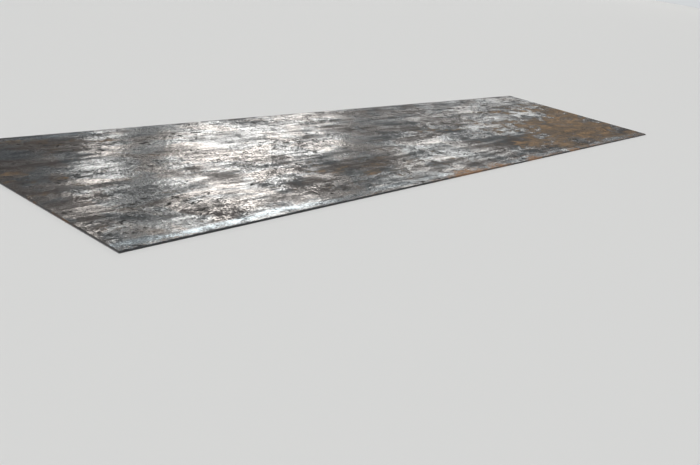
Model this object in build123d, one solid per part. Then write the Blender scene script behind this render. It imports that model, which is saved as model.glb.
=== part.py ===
from build123d import *
import os

# A hot-rolled steel plate, lying flat, cut to length from a coil.
# Its long edges are as the mill left them: the plate thins a little towards them and they are rounded.
# Its two ends are sheared. X runs along the plate, Y across it, Z up through its thickness.
# The origin is the centre of the face that it lies on.

# Driving dimensions, in millimetres and degrees
length = 6000
width = 1500
thickness = 12

edge_drop = 0.2          # how far each face has fallen where the rounded edge begins
edge_drop_width = 50     # the strip along each long edge over which it falls
edge_bulge = 1.8         # how far the middle of the rounded edge stands out past its corners
arris_radius = 1.5       # rounding where a face turns into the rounded edge

rollover_reach = 2.4     # how far along the plate the shear blade has drawn its face down
rollover_depth = 1.4     # how deep it has drawn the face down
burnished_land = 4.0     # the straight stripe that the blade cut before the steel broke
fracture_angle = 7       # lean of the broken part of the cut, from upright

# Derived sizes
half_length = length / 2
half_width = width / 2
shoulder = half_width - edge_bulge
drop_start = half_width - edge_drop_width


def mill_edge(side):
    """One long edge of the section, from the upper face round to the lower one."""
    upper_start = (side * drop_start, thickness)
    upper_end = (side * shoulder, thickness - edge_drop)
    lower_start = (side * shoulder, edge_drop)
    lower_end = (side * drop_start, 0)
    upper_fall = TangentArc(upper_start, upper_end, tangent=(side, 0))
    nose = ThreePointArc(upper_end, (side * half_width, thickness / 2), lower_start)
    lower_fall = TangentArc(lower_end, lower_start, tangent=(side, 0))
    return [upper_fall, nose, lower_fall]


def cross_section():
    """The section across the plate: two flat faces between the rounded mill edges."""
    upper_face = Line((-drop_start, thickness), (drop_start, thickness))
    lower_face = Line((-drop_start, 0), (drop_start, 0))
    outline = make_face([upper_face, lower_face] + mill_edge(1) + mill_edge(-1))
    arrises = outline.vertices().filter_by(lambda corner: abs(corner.X) > (drop_start + shoulder) / 2)
    return fillet(arrises, arris_radius)


def sheared_end():
    """One sheared end, seen from the side, from the drawn-down corner to the broken one."""
    land_end = thickness - rollover_depth - burnished_land
    rollover = EllipticalCenterArc(
        (half_length - rollover_reach, thickness - rollover_depth),
        rollover_reach,
        rollover_depth,
        arc_size=90,
    )
    land = Line((half_length, thickness - rollover_depth), (half_length, land_end))
    fracture = PolarLine(
        (half_length, land_end),
        land_end,
        angle=-90 - fracture_angle,
        length_mode=LengthMode.VERTICAL,
    )
    return [rollover, land, fracture]


def length_profile():
    """The outline along the plate. The left end is the same cut turned over, broken above."""
    right_end = sheared_end()
    turn_over = Pos(0, thickness / 2) * Rot(0, 0, 180) * Pos(0, -thickness / 2)
    left_end = [turn_over * edge for edge in right_end]
    upper_face = Line(right_end[0] @ 1, left_end[-1] @ 1)
    lower_face = Line(left_end[0] @ 1, right_end[-1] @ 1)
    return make_face(right_end + left_end + [upper_face, lower_face])


def steel_plate():
    """The rolled section, run past both ends, and cut to length by the two shears."""
    rolled = extrude(Plane.YZ.offset(-length) * cross_section(), amount=2 * length)
    sheared = extrude(Plane.XZ.offset(-width) * length_profile(), amount=2 * width)
    return rolled & sheared


os.makedirs("parts", exist_ok=True)
export_step(steel_plate(), "parts/steel_plate.step")
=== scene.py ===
import math

import bpy
import numpy as np
from mathutils import Matrix, Vector, noise


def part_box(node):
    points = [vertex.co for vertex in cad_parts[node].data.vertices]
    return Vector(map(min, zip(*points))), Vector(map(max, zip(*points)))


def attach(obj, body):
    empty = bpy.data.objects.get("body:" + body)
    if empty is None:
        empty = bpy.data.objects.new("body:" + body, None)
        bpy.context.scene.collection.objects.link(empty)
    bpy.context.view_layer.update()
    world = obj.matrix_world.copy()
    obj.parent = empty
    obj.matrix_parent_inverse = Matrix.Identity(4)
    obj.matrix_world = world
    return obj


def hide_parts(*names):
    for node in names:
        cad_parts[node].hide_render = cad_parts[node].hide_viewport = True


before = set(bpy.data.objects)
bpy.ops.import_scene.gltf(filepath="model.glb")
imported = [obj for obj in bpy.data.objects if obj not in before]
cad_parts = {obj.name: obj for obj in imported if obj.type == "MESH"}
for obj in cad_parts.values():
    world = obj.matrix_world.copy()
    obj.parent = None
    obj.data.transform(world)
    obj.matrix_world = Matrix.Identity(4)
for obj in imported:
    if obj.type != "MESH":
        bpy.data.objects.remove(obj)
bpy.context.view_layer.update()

# The plate, in metres. X runs along it, Y across it, Z up. The sizes of its edges repeat the solid's own.
PLATE_LOW, PLATE_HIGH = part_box("steel_plate")
LENGTH = PLATE_HIGH.x - PLATE_LOW.x
WIDTH = PLATE_HIGH.y - PLATE_LOW.y
THICKNESS = PLATE_HIGH.z - PLATE_LOW.z
EDGE_DROP = 0.0002                      # how far each face has fallen where the rounded edge begins
EDGE_DROP_WIDTH = 0.050                 # the strip along each long edge over which it falls
EDGE_BULGE = 0.0018                     # how far the middle of the rounded edge stands out
ARRIS_RADIUS = 0.0015                   # rounding where a face turns into the rounded edge
ARRIS_ON_FACE = 0.55 * ARRIS_RADIUS     # how much of the face's width that rounding takes
ARRIS_ON_NOSE = 0.50 * ARRIS_RADIUS     # how much of the edge's height it takes
ROLLOVER_REACH = 0.0024                 # how far along the plate the shear blade has drawn its face down
ROLLOVER_DEPTH = 0.0014                 # how deep it has drawn the face down
BURNISHED_LAND = 0.004                  # the straight stripe that the blade cut before the steel broke
FRACTURE_ANGLE = math.radians(7)        # lean of the broken part of the cut, from upright
LAND_TOP = THICKNESS - ROLLOVER_DEPTH
LAND_BOTTOM = LAND_TOP - BURNISHED_LAND

# Slow waves in the upper face and in the long edges
FACE_DIP = 0.0005                       # how far the upper face's waves go below its level
EDGE_WAVE = 0.0005                      # how far the long edges' waves go inwards
WAVES_ALONG = 1.9                       # waves in a metre along the plate
WAVES_ACROSS = 2.6                      # waves in a metre across it
EDGE_WAVE_SEED = 9                      # picks the far edge's waves, and its negative the near edge's

# The mesh: how finely the faces and edges are divided, and the order of its materials
CELLS_ALONG = 330
CELLS_ACROSS = 77
FALL_STEPS = 6
ARRIS_STEPS = 3
NOSE_STEPS = 6
SHARP_ANGLE = math.radians(32)
FACE_LOOK, EDGE_LOOK, END_LOOK = range(3)

# The camera, at the photograph's own place and angle. Its lens and sensor are in millimetres.
CAMERA_PLACE = Vector((-4.792, -3.110, 1.287))
CAMERA_HEADING = math.radians(35.73)
CAMERA_DOWN = math.radians(20.0)
CAMERA_ROLL = math.radians(10.17)
CAMERA_LENS = 41.01
CAMERA_SENSOR = 36
CAMERA_SIGHT = 1000                     # how far it sees, in metres

# Rust on the upper face: where it lies, how far it reaches along and across, and how thick it is
RUST_PATCHES = [
    (2.25, -0.34, 1.00, 0.46, 1.30),
    (2.78, 0.08, 0.42, 0.42, 1.30),
    (1.45, -0.52, 0.70, 0.22, 1.10),
    (1.64, -0.29, 0.42, 0.16, 1.10),
    (2.74, 0.20, 0.22, 0.12, 1.90),
    (2.50, -0.01, 0.24, 0.08, 1.80),
    (2.62, -0.45, 0.26, 0.07, 2.00),
    (1.96, -0.18, 0.30, 0.06, 1.80),
    (1.16, -0.51, 0.24, 0.07, 1.90),
    (1.93, 0.30, 0.26, 0.07, 1.30),
    (2.20, 0.42, 0.30, 0.07, 0.60),
    (1.56, 0.03, 0.26, 0.06, 1.20),
    (1.26, -0.14, 0.18, 0.08, 0.80),
    (1.02, -0.20, 0.16, 0.06, 0.60),
    (0.52, 0.08, 0.26, 0.05, 0.70),
    (0.02, -0.50, 0.28, 0.07, 0.50),
    (-0.85, -0.42, 0.50, 0.22, 0.40),
    (-2.91, 0.15, 0.14, 0.09, 0.55),
    (-2.50, 0.60, 0.30, 0.10, 0.50),
]
# Patches of the upper face that are smoothed by wear and painted lighter, as glints standing in for the far
# lamps' reflections, stated in the same way
WORN_GLINT_PATCHES = [
    (0.20, -0.13, 0.22, 0.09, 1.0),
    (-0.22, -0.42, 0.30, 0.08, 0.7),
    (1.60, 0.44, 0.36, 0.13, 1.3),
    (2.20, 0.18, 0.34, 0.11, 1.3),
    (2.60, 0.62, 0.45, 0.10, 0.6),
    (0.95, 0.02, 0.30, 0.08, 0.6),
    (-1.95, 0.42, 0.40, 0.09, 0.6),
    (-2.45, 0.05, 0.34, 0.06, 0.7),
    (-2.30, -0.15, 0.38, 0.05, 0.7),
    (-2.70, -0.52, 0.30, 0.07, 0.6),
]
# Patches of the upper face that are dull and calm, stated in the same way
DULL_PATCHES = [
    (0.75, -0.36, 0.60, 0.20, 0.8),
    (-0.72, -0.30, 0.60, 0.30, 0.8),
    (-0.12, 0.18, 0.45, 0.20, 0.7),
    (0.20, 0.20, 0.60, 0.30, 0.3),
    (1.52, -0.34, 0.44, 0.18, 1.0),
    (1.85, -0.62, 0.40, 0.12, 1.0),
    (0.70, -0.64, 1.00, 0.14, 0.6),
    (2.92, -0.64, 0.40, 0.18, 0.8),
    (2.20, -0.42, 0.95, 0.34, 0.7),
    (2.92, -0.15, 0.32, 0.34, 0.9),
    (-2.78, 0.25, 0.34, 0.34, 0.7),
]
# Rust along the near long edge: where it lies, how far it reaches along, and how far inwards
EDGE_RUST = [
    (-0.62, 0.20, 0.030),
    (-0.30, 0.30, 0.065),
    (0.08, 0.26, 0.045),
    (0.62, 0.16, 0.075),
    (0.95, 0.30, 0.020),
    (1.34, 0.13, 0.060),
    (1.75, 0.40, 0.025),
    (2.60, 0.50, 0.020),
]
# The pale strip beside a long edge, partly cleaner scale and partly a painted reflection of the sky: where
# it fades in and out again, from the plate's middle line
BAND_IN = (0.670, 0.700)
BAND_OUT = (0.712, 0.735)
BAND_WANDER = 0.008                     # how far it wanders from there
# How far from the middle of its height the long edge begins to be polished bright by rubbing, with a
# painted glint where its arrises catch the light, and is wholly so
RUBBED_GLINT_SPAN = (0.0040, 0.0056)
# The stripes of a sheared end: how far their borders wander, and how far they blend into the land and out
STRIPE_WANDER = 0.0003
BLEND_IN = 0.0002
BLEND_OUT = 0.0004
# Half of the strip in the plate's middle where the look of one side blends into that of the other
HALFWAY = 0.1

# Colours of the faces
SCALE_BLUE = (0.026, 0.032, 0.037)
SCALE_BROWN = (0.038, 0.030, 0.027)
SCALE_BROKEN = (0.014, 0.013, 0.012)
SILVER_COOL = (0.385, 0.403, 0.412)
SILVER_WARM = (0.425, 0.400, 0.380)
# Partly a painted reflection of the sky, for the pale strip beside the long edges
BAND_PALE_SHEEN = (0.300, 0.360, 0.400)
RUST_THIN = (0.078, 0.056, 0.038)
RUST_THICK = (0.155, 0.100, 0.051)
RUST_BRIGHT = (0.310, 0.182, 0.078)
ORANGE_DARK = (0.200, 0.105, 0.050)
ORANGE_PALE = (0.400, 0.215, 0.090)
# Colours of the long edges
EDGE_BLACK = (0.014, 0.015, 0.017)
EDGE_GREY = (0.034, 0.036, 0.040)
# Bright steel along the arrises: partly rub wear, partly a painted glint where they catch the light
EDGE_RUBBED_GLINT = (0.36, 0.37, 0.38)
EDGE_BROWN = (0.190, 0.095, 0.045)
# Colours of the sheared ends
DRAWN_SCALE = (0.036, 0.040, 0.044)
LAND_DARK = (0.10, 0.10, 0.105)
LAND_PALE = (0.24, 0.24, 0.25)
TORN_DARK = (0.030, 0.028, 0.027)
TORN_PALE = (0.085, 0.080, 0.076)
END_BROWN = (0.150, 0.080, 0.042)

# How deep the bumps of each material are
FACE_RELIEF = 0.0003
EDGE_RELIEF = 0.0002
END_RELIEF = 0.0004

# The middle part of the noise texture's range, which is stretched to -1..1
NOISE_LOW = 0.43
NOISE_HIGH = 0.57

# The Mix node's sockets for its factor and two colours, and for the mixed colour
MIX_INPUTS = (0, 6, 7)
MIX_OUTPUT = 2

# The floor
FLOOR_REACH = 145                       # from its middle to each of its sides
FLOOR_GAP = 0.0002                      # keeps the floor clear of the plate's lower face
FLOOR_COLOUR = (0.72, 0.72, 0.71, 1)
FLOOR_ROUGHNESS = 0.9

# The sky: pale up to one angle above the horizon, and dim from another on, both stated as their sines
SKY_PALE_TO = 0.02
SKY_DIM_FROM = 0.36
SKY_FALL = 2.2                          # how steeply it dims from the one to the other
SKY_PALE = 0.68
SKY_DIM = 0.06
SKY_COLOUR = (0.95, 0.98, 1)

# The daylight from above
SUN_STRENGTH = 2.5
SUN_SPREAD = math.radians(50)
SUN_TILT = math.radians(25)
SUN_HEADING = math.radians(60)

# The colours of the far lamps
WARM_LIGHT = (1, 0.97, 0.93)
PALE_LIGHT = (1, 0.99, 0.96)
COOL_LIGHT = (0.97, 0.99, 1)
# Far upright lamps, which the plate mirrors like windows. As seen from the camera: name, heading in
# degrees, distance, width and height, height of the lower edge, radiance and colour. Three are in front,
# and a ring of dimmer ones goes round the back.
WINDOWS = [
    ("window_main", 43.6, 150, (30, 52), 28, 3.1, WARM_LIGHT),
    ("window_left", 54.6, 150, (6, 44), 31, 3.2, WARM_LIGHT),
    ("window_far", 27, 180, (45, 45), 30, 1.8, PALE_LIGHT),
]
RING_HEADINGS = range(95, 345, 30)
WINDOWS += [(f"window_{heading}", heading, 150, (40, 60), 30, 1.3, COOL_LIGHT) for heading in RING_HEADINGS]


# Shape

def mill_edge_profile():
    """Distance from the centre line and height, from the flat upper face round to the flat lower one."""
    half = WIDTH / 2
    start = half - EDGE_DROP_WIDTH
    shoulder = half - EDGE_BULGE
    rise = THICKNESS / 2 - EDGE_DROP
    nose_radius = (rise ** 2 + EDGE_BULGE ** 2) / (2 * EDGE_BULGE)
    nose_centre = half - nose_radius
    arris_start = shoulder - ARRIS_ON_FACE
    arris_turn = math.asin((rise - ARRIS_ON_NOSE) / nose_radius)

    def fall(share):
        out = start + share * (arris_start - start)
        return Vector((out, THICKNESS - EDGE_DROP * ((out - start) / (shoulder - start)) ** 2))

    def nose(angle):
        out = nose_centre + nose_radius * math.cos(angle)
        return Vector((out, THICKNESS / 2 + nose_radius * math.sin(angle)))

    upper = [fall(step / FALL_STEPS) for step in range(FALL_STEPS + 1)]
    first = upper[-1]
    last = nose(arris_turn)
    corner = Vector((shoulder, THICKNESS - EDGE_DROP))
    for step in range(1, ARRIS_STEPS + 1):
        share = step / ARRIS_STEPS
        upper.append(first * (1 - share) ** 2 + corner * 2 * share * (1 - share) + last * share ** 2)
    upper += [nose(arris_turn * (1 - step / NOSE_STEPS)) for step in range(1, NOSE_STEPS)]
    lower = [Vector((out, THICKNESS - height)) for out, height in reversed(upper)]
    return upper + [nose(0)] + lower


def sheared_reach(height):
    """How far the right end stands out from the plate's middle, at a height above the lower face."""
    if height > LAND_TOP:
        drawn = (height - LAND_TOP) / ROLLOVER_DEPTH
        return LENGTH / 2 - ROLLOVER_REACH * (1 - math.sqrt(max(0, 1 - drawn ** 2)))
    if height < LAND_BOTTOM:
        return LENGTH / 2 - (LAND_BOTTOM - height) * math.tan(FRACTURE_ANGLE)
    return LENGTH / 2


def wave(along, across, seed):
    """Slow waves between 0 and 1."""
    return 0.5 + 0.5 * noise.noise(Vector((WAVES_ALONG * along, WAVES_ACROSS * across, seed)))


class PlateMesh:
    """The plate as one closed grid: the upper face, rings round the edges, the lower face."""

    def __init__(self):
        self.along = np.linspace(0, 1, CELLS_ALONG + 1)
        self.across = np.linspace(-1, 1, CELLS_ACROSS + 1)
        self.vertices = []
        self.faces = []
        self.looks = []
        self.stations = self.ring_stations()
        self.on_long_side = ([True] * CELLS_ALONG + [False] * CELLS_ACROSS) * 2

    def ring_stations(self):
        """The grid stations round the face's outline: near side, right end, far side, left end."""
        near = [(i, 0) for i in range(CELLS_ALONG)]
        right = [(CELLS_ALONG, j) for j in range(CELLS_ACROSS)]
        far = [(i, CELLS_ACROSS) for i in range(CELLS_ALONG, 0, -1)]
        left = [(0, j) for j in range(CELLS_ACROSS, 0, -1)]
        return near + right + far + left

    def add_vertex(self, i, j, half_width, height, dip=0.0):
        """Adds the vertex of a grid station. The left end is the right one turned over."""
        right = sheared_reach(height)
        left = -sheared_reach(THICKNESS - height)
        x = left + self.along[i] * (right - left)
        y = self.across[j] * half_width
        edge_share = max(0.0, 1 - (WIDTH / 2 - abs(y)) / EDGE_DROP_WIDTH)
        side_seed = math.copysign(EDGE_WAVE_SEED, y)
        y -= math.copysign(EDGE_WAVE * wave(x, 0, side_seed) * edge_share, y)
        self.vertices.append((x, y, height - dip * wave(x, y, 0)))

    def add_face(self, half_width, height, lower):
        """Adds a flat face, with waves inside its outline if it is the upper one. Returns its outline."""
        base = len(self.vertices)
        rows = CELLS_ACROSS + 1
        for i in range(CELLS_ALONG + 1):
            for j in range(rows):
                inner = 0 < i < CELLS_ALONG and 0 < j < CELLS_ACROSS
                self.add_vertex(i, j, half_width, height, FACE_DIP if inner and not lower else 0)
        for i in range(CELLS_ALONG):
            for j in range(CELLS_ACROSS):
                corner = base + i * rows + j
                quad = (corner, corner + rows, corner + rows + 1, corner + 1)
                self.faces.append(quad[::-1] if lower else quad)
                self.looks.append(FACE_LOOK)
        return [base + i * rows + j for i, j in self.stations]

    def add_ring(self, half_width, height):
        """Adds one ring of vertices round the plate, and returns it."""
        base = len(self.vertices)
        for i, j in self.stations:
            self.add_vertex(i, j, half_width, height)
        return list(range(base, len(self.vertices)))

    def stitch(self, upper, lower, side_look):
        """Joins two rings with quads that face outwards, with one look along the sides."""
        for here in range(len(upper)):
            after = (here + 1) % len(upper)
            self.faces.append((upper[here], lower[here], lower[after], upper[after]))
            self.looks.append(side_look if self.on_long_side[here] else END_LOOK)

    def build(self):
        """The whole mesh, from the upper face down."""
        profile = mill_edge_profile()
        last = len(profile) - 1
        ring = self.add_face(*profile[0], lower=False)
        for step in range(1, last + 1):
            if step == last:
                following = self.add_face(*profile[step], lower=True)
            else:
                following = self.add_ring(*profile[step])
            is_edge = FALL_STEPS < step <= last - FALL_STEPS
            self.stitch(ring, following, EDGE_LOOK if is_edge else FACE_LOOK)
            ring = following
        mesh = bpy.data.meshes.new("steel_plate_skin")
        mesh.from_pydata(self.vertices, [], self.faces)
        mesh.polygons.foreach_set("use_smooth", [True] * len(self.faces))
        mesh.polygons.foreach_set("material_index", self.looks)
        mesh.set_sharp_from_angle(angle=SHARP_ANGLE)
        return mesh


# Materials

class Nodes:
    """Adds nodes to one tree and joins them up."""

    def __init__(self, tree):
        self.tree = tree

    def add(self, kind, inputs=None, **settings):
        """Adds a node, sets its properties, and sets or links its inputs."""
        made = self.tree.nodes.new(kind)
        for name, value in settings.items():
            setattr(made, name, value)
        for key, value in (inputs or {}).items():
            self.feed(made.inputs[key], value)
        return made

    def feed(self, socket, value):
        """Links a socket to another node's output, or sets it to a number, a place or a colour."""
        if isinstance(value, bpy.types.NodeSocket):
            self.tree.links.new(value, socket)
        elif isinstance(value, tuple) and socket.type == "RGBA":
            socket.default_value = (*value, 1.0)
        else:
            socket.default_value = value


class Look(Nodes):
    """One material, built up from the plate's own coordinates in metres."""

    def __init__(self, name):
        self.material = bpy.data.materials.new(name)
        self.material.use_nodes = True
        super().__init__(self.material.node_tree)
        self.where = self.add("ShaderNodeTexCoord").outputs["Object"]
        self.x, self.y, self.z = self.add("ShaderNodeSeparateXYZ", {0: self.where}).outputs

    def noise(self, per_metre, detail=3.0, rough=0.5, warp=0.0, seed=0.0):
        """Cloudy noise, mostly from -1.6 to 1.6, with so many clouds per metre along X and across Y."""
        along, across = per_metre
        scaled = self.add("ShaderNodeMapping", {
            "Vector": self.where,
            "Scale": (along, across, across),
            "Location": (seed, seed, 0),
        })
        clouds = self.add("ShaderNodeTexNoise", {
            "Vector": scaled.outputs[0],
            "Scale": 1.0,
            "Detail": detail,
            "Roughness": rough,
            "Distortion": warp,
        })
        centred = self.add("ShaderNodeMapRange", {
            "Value": clouds.outputs["Fac"],
            "From Min": NOISE_LOW,
            "From Max": NOISE_HIGH,
            "To Min": -1.0,
            "To Max": 1.0,
        }, clamp=False)
        return centred.outputs["Result"]

    def span(self, value, low, high, to_low=0.0, to_high=1.0):
        """Maps low..high of the value smoothly to to_low..to_high, clamped."""
        made = self.add("ShaderNodeMapRange", {
            "Value": value,
            "From Min": low,
            "From Max": high,
            "To Min": to_low,
            "To Max": to_high,
        }, interpolation_type="SMOOTHSTEP")
        return made.outputs["Result"]

    def calc(self, operation, first, *others):
        """One operation after another, from the left."""
        result = first
        for other in others:
            result = self.add("ShaderNodeMath", {0: result, 1: other}, operation=operation).outputs[0]
        return result

    def plus(self, *values):
        return self.calc("ADD", *values)

    def minus(self, first, second):
        return self.calc("SUBTRACT", first, second)

    def times(self, *values):
        return self.calc("MULTIPLY", *values)

    def highest(self, *values):
        return self.calc("MAXIMUM", *values)

    def unsigned(self, value):
        """The value without its sign."""
        return self.add("ShaderNodeMath", {0: value}, operation="ABSOLUTE").outputs[0]

    def total(self, *weighted):
        """The sum of (value, weight) pairs."""
        return self.plus(*[self.times(value, weight) for value, weight in weighted])

    def mix(self, factor, first, second):
        """The first colour where the factor is 0, the second where it is 1."""
        made = self.add("ShaderNodeMix", data_type="RGBA")
        for index, value in zip(MIX_INPUTS, (factor, first, second)):
            self.feed(made.inputs[index], value)
        return made.outputs[MIX_OUTPUT]

    def cracks(self, per_metre, width, seed):
        """Thin wandering lines: 1 on the line, 0 from its width on."""
        line = self.unsigned(self.noise(per_metre, detail=4, rough=0.6, warp=1.2, seed=seed))
        return self.span(line, 0.0, width, 1.0, 0.0)

    def patches(self, places, x, y):
        """Soft round patches, the strongest at each point, from lists stated like RUST_PATCHES."""
        strongest = 0.0
        for place_x, place_y, reach_x, reach_y, strength in places:
            far_x = self.calc("DIVIDE", self.minus(x, place_x), reach_x)
            far_y = self.calc("DIVIDE", self.minus(y, place_y), reach_y)
            far = self.plus(self.times(far_x, far_x), self.times(far_y, far_y))
            strongest = self.highest(strongest, self.span(far, 0.0, 1.0, strength, 0.0))
        return strongest

    def finish(self, colour, rough, metal, height, depth):
        """Feeds the shader, with bumps of the height times the depth, and returns the material."""
        bump = self.add("ShaderNodeBump", {"Height": height, "Strength": 1.0, "Distance": depth})
        shader = self.tree.nodes["Principled BSDF"]
        self.feed(shader.inputs["Base Color"], colour)
        self.feed(shader.inputs["Roughness"], rough)
        self.feed(shader.inputs["Metallic"], metal)
        self.feed(shader.inputs["Normal"], bump.outputs[0])
        return self.material


def edge_rust(g):
    """How far rust reaches inwards from the near long edge, in metres, at each place along it."""
    places = [(x, 0.0, reach, 1.0, inwards) for x, reach, inwards in EDGE_RUST]
    return g.patches(places, g.x, 0.0)


def orange_rust(g, drift, ragged, fine):
    """How far the orange rust along the near long edge hides what is under it, from 0 to 1."""
    nearness = g.times(g.y, -2 / WIDTH)     # 1 at the near edge, 0 at the plate's middle line
    reach = g.times(edge_rust(g), g.total((ragged, 0.45), (drift, 0.25), (nearness, 1.0)))
    inwards = g.plus(g.y, WIDTH / 2)
    orange = g.span(g.total((reach, 1.0), (inwards, -1.0), (fine, 0.020)), -0.015, 0.045)
    gaps = g.noise((30, 60), detail=4, rough=0.8, warp=0.5, seed=40)
    return g.times(orange, g.span(gaps, -1.4, 0.8, 0.25, 1.0))


def face_rust(g):
    """The rust on the faces: how far its film hides the scale, from 0 to 1, how bright it is, from 0 to
    about 2, and how far the orange rust along the near edge hides both, from 0 to 1."""
    drift = g.noise((3.0, 5.0), detail=5, rough=0.65, warp=0.6, seed=31)
    ragged = g.noise((9, 20), detail=5, rough=0.7, warp=1.0, seed=33)
    blotches = g.noise((5.0, 15), detail=5, rough=0.65, warp=0.5, seed=35)
    clots = g.noise((14, 30), detail=4, rough=0.7, warp=0.5, seed=49)
    specks = g.noise((45, 70), detail=3, rough=0.8, seed=37)
    fine = g.noise((60, 90), detail=4, rough=0.85, seed=39)

    x = g.total((g.x, 1.0), (drift, 0.16), (ragged, 0.035))
    y = g.total((g.y, 1.0), (drift, -0.06), (ragged, 0.014))
    veins = g.times(g.cracks((3.2, 9), 0.14, seed=29), g.span(g.x, -1.0, 1.0, 0.1, 0.6))
    veins = g.times(veins, g.span(blotches, -0.5, 1.0))
    thin = g.total((ragged, 0.10), (blotches, 0.15), (specks, 0.10))
    thick = g.plus(g.patches(RUST_PATCHES, x, y), veins, thin)

    cover = g.span(g.noise((5.0, 11), detail=5, rough=0.68, warp=0.8, seed=47), -1.2, 0.9, 0.74, 1.0)
    less_below = g.span(g.z, 0.0, THICKNESS, 0.3, 1.0)
    film = g.times(g.span(thick, 0.05, 1.00), cover, less_below)
    tone = g.total((thick, 0.7), (blotches, 0.22), (clots, 0.13), (fine, 0.16))
    return film, tone, orange_rust(g, drift, ragged, fine)


def slow_sheen(g, wisps, worn_glint, dull):
    """How much the scale shines, in slow clouds and streaks, with less shine and contrast to the right."""
    clouds = g.noise((1.1, 1.9), detail=3, rough=0.5, warp=0.6)
    streaks = g.noise((1.6, 20), detail=4, rough=0.6, warp=0.3, seed=3)
    flow = g.total((clouds, 0.36), (wisps, 0.30), (streaks, 0.40))
    flow = g.times(flow, g.span(g.x, -0.8, 0.8, 1.0, 0.72))
    # Painted glints in the patches smoothed by wear, and less shine in the dull patches
    sheen = g.total((flow, 1.0), (worn_glint, 1.5), (dull, -0.9))
    return g.minus(sheen, g.span(g.x, -1.0, 0.8, 0.0, 0.46))


def fine_detail(g, grain, mottle, dull):
    """Fine changes of the shine, busier in some places than in others."""
    busy = g.span(g.noise((2.2, 4.0), detail=3, rough=0.6, seed=25), -1.0, 1.3, 0.40, 1.40)
    calm = g.minus(1.0, g.times(dull, 0.6))
    return g.times(g.total((grain, 1.05), (mottle, 0.50)), g.times(busy, calm))


def pale_band_and_sheen(g, grain, mottle):
    """How strong the pale strip beside each long edge is, partly cleaner scale and partly a painted
    reflection of the sky: painted the strongest at the near edge, to the left.
    """
    wander = g.times(g.noise((2.0, 2.0), detail=3, seed=21), BAND_WANDER)
    from_middle = g.plus(g.unsigned(g.y), wander)
    band_sheen = g.minus(g.span(from_middle, *BAND_IN), g.span(from_middle, *BAND_OUT, 0.0, 0.6))
    near = g.span(g.y, -HALFWAY, HALFWAY, 1.0, 0.4)
    left = g.span(g.x, -2.4, -0.9, 1.0, 0.40)
    broken_up = g.span(g.total((grain, 0.7), (mottle, 0.5)), -1.2, 0.8, 0.35, 1.1)
    return g.times(band_sheen, near, left, broken_up)


def dark_marks(g):
    """Cracks and flecks where the scale has come away, in clusters."""
    clusters = g.span(g.noise((2.2, 3.5), detail=3, seed=9), -0.1, 1.0)
    cracks = g.cracks((8, 20), 0.10, seed=5)
    flecks = g.span(g.noise((24, 40), detail=3, rough=0.7, warp=0.3, seed=15), 1.10, 1.50)
    return g.times(g.highest(cracks, flecks), clusters)


def mill_scale():
    """Hot-rolled scale: dark blue and brown, silver with wear in places, with patches painted lighter as
    glints of the far lamps, a pale strip beside the long edges that is partly a painted reflection of the
    sky, and rust, cracks and flecks.
    """
    g = Look("mill_scale")
    tints = g.noise((2.2, 4.0), detail=4, rough=0.6, warp=0.8, seed=7)
    wisps = g.noise((4.2, 8), detail=4, rough=0.6, warp=0.4, seed=17)
    mottle = g.noise((15, 26), detail=4, rough=0.7, warp=0.3, seed=23)
    dents = g.noise((34, 44), detail=2, rough=0.5, warp=0.4, seed=19)
    grain = g.noise((66, 84), detail=4, rough=0.9, seed=11)
    drift = g.noise((7, 14), detail=4, rough=0.6, warp=0.5, seed=27)
    x = g.total((g.x, 1.0), (drift, 0.05))
    y = g.total((g.y, 1.0), (drift, 0.025))
    # Patches smoothed by wear and painted lighter, as glints where the far lamps are mirrored
    worn_glint = g.patches(WORN_GLINT_PATCHES, x, y)
    dull = g.patches(DULL_PATCHES, x, y)
    film, tone, orange = face_rust(g)
    band_sheen = pale_band_and_sheen(g, grain, mottle)
    marks = dark_marks(g)
    sheen = slow_sheen(g, wisps, worn_glint, dull)
    gloss = g.total((sheen, 1.0), (fine_detail(g, grain, mottle, dull), 1.0), (film, -1.4))

    warmth = g.span(tints, -0.8, 0.8)
    dark = g.mix(warmth, SCALE_BLUE, SCALE_BROWN)
    silver = g.mix(warmth, SILVER_COOL, SILVER_WARM)
    base = g.mix(g.span(gloss, -1.2, 2.6), dark, silver)
    # The pale strip: partly cleaner scale, partly a painted reflection of the sky, painted strongest at the
    # near edge and to the left
    base = g.mix(band_sheen, base, BAND_PALE_SHEEN)
    tan = g.mix(g.span(tone, 0.1, 0.9), RUST_THIN, RUST_THICK)
    tan = g.mix(g.span(tone, 0.9, 1.7), tan, RUST_BRIGHT)
    base = g.mix(g.times(film, 0.93), base, tan)
    flame = g.mix(g.span(grain, -1.5, 1.5), ORANGE_DARK, ORANGE_PALE)
    base = g.mix(g.times(orange, 0.9), base, flame)
    base = g.mix(g.times(marks, 0.9), base, SCALE_BROKEN)

    gloss = g.plus(gloss, g.times(band_sheen, 1.2))
    rust = g.highest(film, orange)
    rough = g.highest(g.span(gloss, -2.2, 0.9, 0.70, 0.18), g.times(marks, 0.8), g.times(rust, 0.70))
    metal = g.times(g.span(gloss, -1.5, 1.5, 0.15, 0.95), g.minus(1.0, rust))
    height = g.total((wisps, 0.35), (dents, 0.26), (grain, 0.03), (marks, -0.4))
    return g.finish(base, rough, metal, height, FACE_RELIEF)


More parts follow.
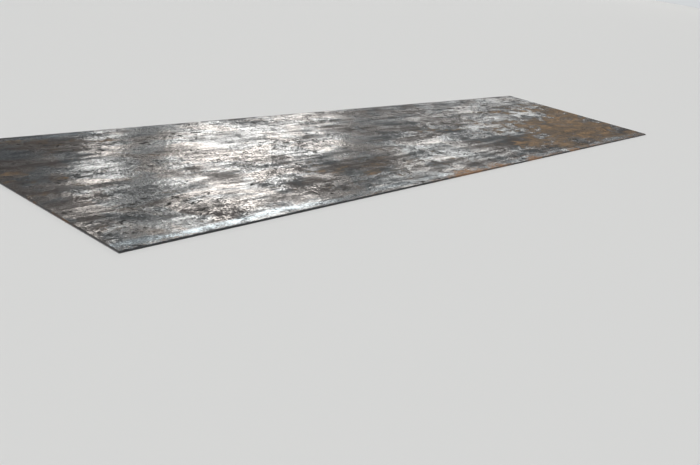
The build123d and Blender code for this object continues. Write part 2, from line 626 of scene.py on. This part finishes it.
def mill_edge():
    """The rounded long edges: near-black scale, polished bright by rubbing along the arrises and painted
    there with glints where they catch the light, the near one rusty.
    """
    g = Look("mill_edge")
    grain = g.noise((40, 160), detail=4, rough=0.8, seed=41)
    scuffs = g.noise((9, 60), detail=5, rough=0.7, seed=43)
    runs = g.noise((30, 90), detail=4, rough=0.8, seed=45)
    from_middle = g.unsigned(g.minus(g.z, THICKNESS / 2))
    rubbed_glint = g.times(g.span(from_middle, *RUBBED_GLINT_SPAN), g.span(scuffs, 0.5, 1.2))
    near = g.span(g.y, -HALFWAY, HALFWAY, 1.0, 0.0)
    rust = g.span(g.total((g.times(edge_rust(g), near), 16.0), (runs, 0.3)), 0.4, 1.1)

    base = g.mix(g.span(grain, -1.5, 1.5), EDGE_BLACK, EDGE_GREY)
    # Bright steel near the arrises: rub wear, with a painted glint where they catch the light
    base = g.mix(rubbed_glint, base, EDGE_RUBBED_GLINT)
    base = g.mix(rust, base, EDGE_BROWN)
    rough = g.minus(0.68, g.times(rubbed_glint, 0.35))
    return g.finish(base, rough, g.times(rubbed_glint, 0.8), grain, EDGE_RELIEF)


def sheared_end():
    """The sheared ends: drawn-down scale, then the burnished stripe, then the rough break."""
    g = Look("sheared_end")
    scratches = g.noise((60, 400), detail=3, rough=0.7, seed=53)
    grain = g.noise((300, 300), detail=4, rough=0.7, seed=55)
    right = g.span(g.x, -HALFWAY, HALFWAY)
    height = g.plus(
        g.times(g.z, right),
        g.times(g.minus(THICKNESS, g.z), g.minus(1.0, right)),
        g.times(g.noise((1, 30), detail=4, rough=0.6, seed=51), STRIPE_WANDER),
    )
    drawn = g.span(height, LAND_TOP - BLEND_IN, LAND_TOP + BLEND_OUT)
    broken = g.span(height, LAND_BOTTOM - BLEND_OUT, LAND_BOTTOM + BLEND_IN, 1.0, 0.0)
    rust = g.span(g.noise((3, 6), detail=5, rough=0.7, warp=1.0, seed=57), 0.3, 1.6)

    land = g.mix(g.span(scratches, -1.5, 1.5), LAND_DARK, LAND_PALE)
    torn = g.mix(g.span(grain, -1.5, 1.5), TORN_DARK, TORN_PALE)
    base = g.mix(broken, land, torn)
    base = g.mix(g.times(rust, 0.7), base, END_BROWN)
    base = g.mix(drawn, base, DRAWN_SCALE)
    rough = g.plus(g.total((broken, 0.35), (drawn, 0.25), (rust, 0.1)), 0.38)
    bare = g.minus(1.0, g.highest(broken, drawn, rust))
    relief = g.total((g.times(grain, broken), 0.5), (scratches, 0.08))
    return g.finish(base, rough, g.times(bare, 0.7), relief, END_RELIEF)


# Surroundings

def place(name, data):
    """Adds an object to the scene."""
    made = bpy.data.objects.new(name, data)
    bpy.context.scene.collection.objects.link(made)
    return made


def floor():
    """A plain pale floor, out to the horizon."""
    corners = [(x * FLOOR_REACH, y * FLOOR_REACH, 0) for x, y in ((-1, -1), (1, -1), (1, 1), (-1, 1))]
    mesh = bpy.data.meshes.new("floor")
    mesh.from_pydata(corners, [], [(0, 1, 2, 3)])
    material = bpy.data.materials.new("floor")
    material.use_nodes = True
    shader = material.node_tree.nodes["Principled BSDF"]
    shader.inputs["Base Color"].default_value = FLOOR_COLOUR
    shader.inputs["Roughness"].default_value = FLOOR_ROUGHNESS
    mesh.materials.append(material)
    ground = place("floor", mesh)
    ground.location.z = -FLOOR_GAP


def sky():
    """The world: pale at the horizon, dim above it."""
    world = bpy.data.worlds.new("sky")
    bpy.context.scene.world = world
    world.use_nodes = True
    g = Nodes(world.node_tree)
    look = g.add("ShaderNodeTexCoord").outputs["Generated"]
    up = g.add("ShaderNodeSeparateXYZ", {0: look}).outputs["Z"]
    lowness = g.add("ShaderNodeMapRange", {
        "Value": up,
        "From Min": SKY_PALE_TO,
        "From Max": SKY_DIM_FROM,
        "To Min": 1.0,
        "To Max": 0.0,
    })
    bent = g.add("ShaderNodeMath", {0: lowness.outputs["Result"], 1: SKY_FALL}, operation="POWER")
    strength = g.add("ShaderNodeMapRange", {
        "Value": bent.outputs[0],
        "From Min": 0.0,
        "From Max": 1.0,
        "To Min": SKY_DIM,
        "To Max": SKY_PALE,
    })
    background = world.node_tree.nodes["Background"]
    g.feed(background.inputs["Strength"], strength.outputs["Result"])
    g.feed(background.inputs["Color"], SKY_COLOUR)


def window(name, heading, distance, size, low, radiance, colour):
    """A far rectangular lamp, upright, facing the camera and unseen by it."""
    width, height = size
    lamp = bpy.data.lights.new(name, "AREA")
    lamp.shape = "RECTANGLE"
    lamp.size = width
    lamp.size_y = height
    lamp.energy = radiance * math.pi * width * height
    lamp.color = colour
    holder = place(name, lamp)
    turn = math.radians(heading)
    out = Vector((math.cos(turn), math.sin(turn), 0))
    holder.location = Vector((CAMERA_PLACE.x, CAMERA_PLACE.y, low + height / 2)) + out * distance
    holder.rotation_euler = (math.pi / 2, 0, turn + math.pi / 2)
    holder.visible_camera = False


def lights():
    """Daylight from above, and the far lamps."""
    for stated in WINDOWS:
        window(*stated)
    sun = bpy.data.lights.new("overhead", "SUN")
    sun.energy = SUN_STRENGTH
    sun.angle = SUN_SPREAD
    place("overhead", sun).rotation_euler = (SUN_TILT, 0, SUN_HEADING - math.pi / 2)


def camera():
    """The photograph's camera."""
    lens = bpy.data.cameras.new("camera")
    lens.lens = CAMERA_LENS
    lens.sensor_width = CAMERA_SENSOR
    lens.sensor_fit = "HORIZONTAL"
    lens.clip_end = CAMERA_SIGHT
    holder = place("camera", lens)
    heading = Matrix.Rotation(CAMERA_HEADING - math.pi / 2, 4, "Z")
    pitch = Matrix.Rotation(math.pi / 2 - CAMERA_DOWN, 4, "X")
    roll = Matrix.Rotation(CAMERA_ROLL, 4, "Z")
    holder.matrix_world = Matrix.Translation(CAMERA_PLACE) @ heading @ pitch @ roll
    bpy.context.scene.camera = holder


# The scene

skin = place("steel_plate_skin", PlateMesh().build())
for look in (mill_scale(), mill_edge(), sheared_end()):
    skin.data.materials.append(look)
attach(skin, "root")
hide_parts("steel_plate")

floor()
sky()
lights()
camera()
bpy.context.scene.view_settings.view_transform = "Standard"
